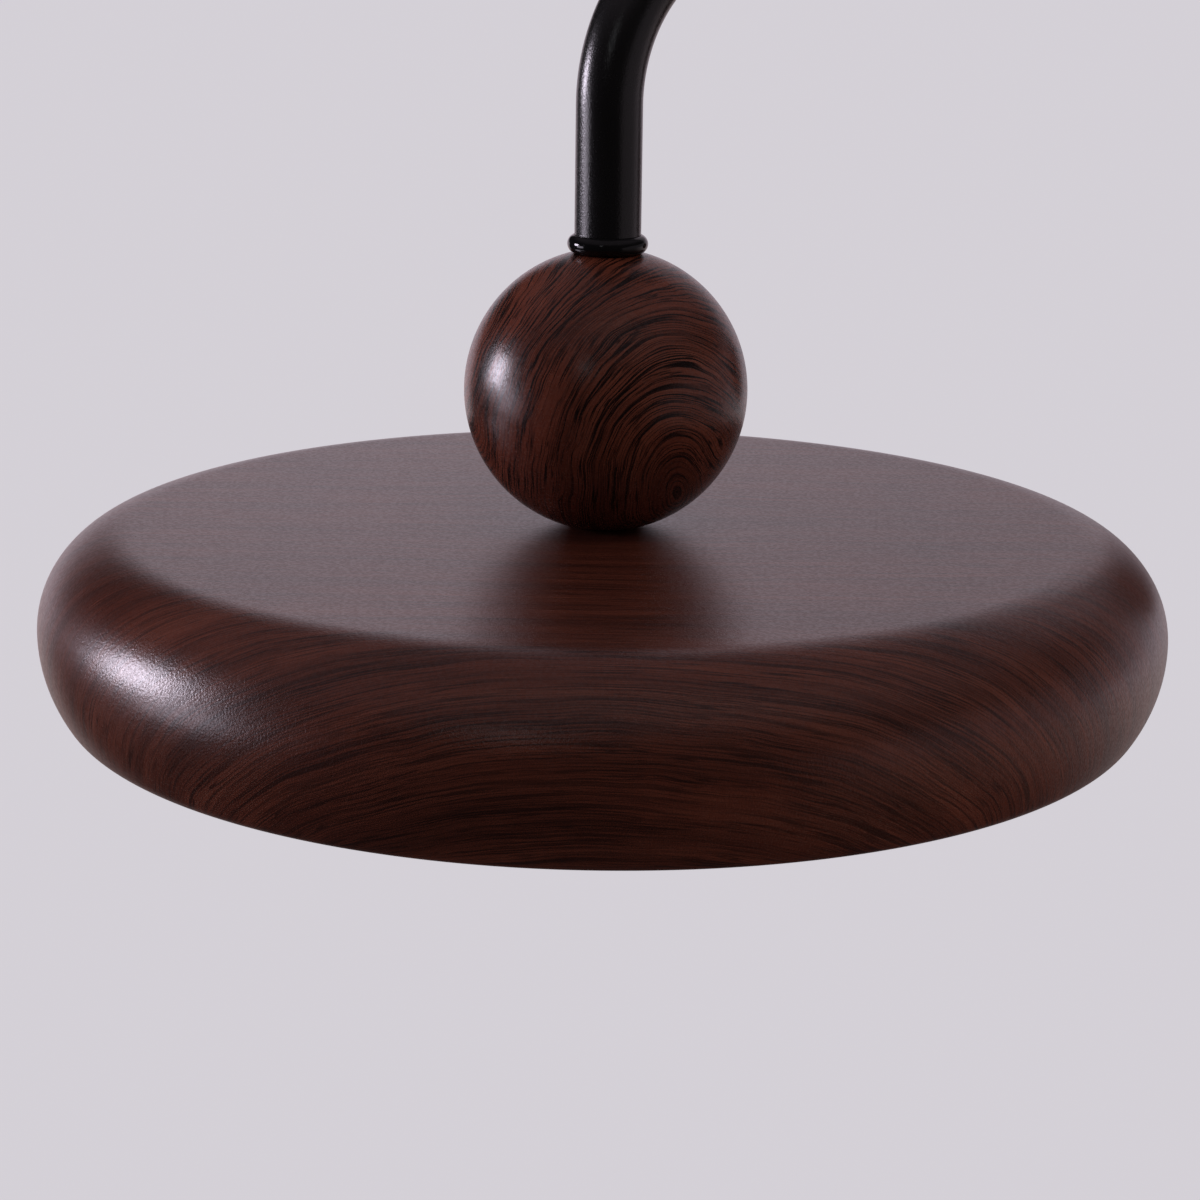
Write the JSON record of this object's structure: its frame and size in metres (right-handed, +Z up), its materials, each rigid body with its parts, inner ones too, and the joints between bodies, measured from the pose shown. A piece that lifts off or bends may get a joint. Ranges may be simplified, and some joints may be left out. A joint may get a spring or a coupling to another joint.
{
  "type": "swing-arm wall light",
  "caption": "Swing-arm wall light: flat pebble shade with walnut-print finish under a ball on a bent black tube, which turns in a sleeve on a round wall canopy with a push switch.",
  "frame": {"origin": "centre of the wall canopy, on the wall plane", "axes": "+Y into the wall, +Z up, +X to the right for someone facing the wall; the room is towards -Y"},
  "size_m": [0.24, 0.412, 0.1725],
  "materials": {
    "walnut_print": "wood-grain print under a satin clear coat",
    "satin_black": "satin",
    "gloss_black": "gloss",
    "black_plastic": "gloss",
    "zinc_steel": "bright zinc",
    "brass_thread": "turned",
    "nylon": "natural",
    "cable_sheath": "matt",
    "plate_aluminium": "mill finish",
    "board_white": "white solder mask",
    "chip_phosphor": "phosphor",
    "driver_case": "matt",
    "opal_acrylic": "opal"
  },
  "bodies": {
    "wall_base": {"wall_bracket": "zinc_steel", "earth_screw": "brass_thread", "terminal_tab": "zinc_steel", "terminal_block": "nylon", "terminal_screws": "brass_thread", "canopy": "walnut_print", "canopy_screws": "satin_black", "stub_nipple": "brass_thread", "stub_washer": "zinc_steel", "stub_nut": "brass_thread", "locating_pin": "zinc_steel", "swivel_sleeve": "satin_black", "upper_bush": "nylon", "lower_bush": "nylon", "stop_screw": "zinc_steel", "sleeve_cap": "satin_black", "base_cable": "cable_sheath", "switch_body": "black_plastic", "switch_nut": "zinc_steel", "switch_spring": "zinc_steel", "switch_leads": "cable_sheath"},
    "arm": {"arm_tube": "satin_black", "pivot_plug": "brass_thread", "swing_collar": "gloss_black", "pivot_washer": "zinc_steel", "disc_spring": "zinc_steel", "pivot_nut": "zinc_steel", "arm_cable": "cable_sheath", "tube_insert": "brass_thread", "ball_collar": "gloss_black", "ball": "walnut_print", "hanger_nipple": "brass_thread", "nipple_bush": "nylon", "shade": "walnut_print", "hanger_bracket": "zinc_steel", "lock_washer": "zinc_steel", "hanger_nut": "brass_thread", "led_plate": "plate_aluminium", "plate_screws": "zinc_steel", "led_board": "board_white", "board_screws": "zinc_steel", "leds": "chip_phosphor", "led_driver": "driver_case", "driver_screws": "zinc_steel", "led_leads": "cable_sheath", "diffuser": "opal_acrylic", "retaining_ring": "satin_black", "ring_screws": "satin_black"},
    "button": {"switch_button": "black_plastic"}
  },
  "joints": [
    {"name": "arm_swing", "type": "hinge", "parent": "wall_base", "child": "arm", "pos_m": [0, -0.052, 0], "axis": [0, 0, 1], "range_deg": [-70, 70]},
    {"name": "button_press", "type": "slide", "parent": "wall_base", "child": "button", "axis": [0, 1, 0], "range_m": [0, 0.0025], "stiffness_N_per_m": 800, "springref_m": -0.001, "deforming": ["switch_spring"]}
  ]
}
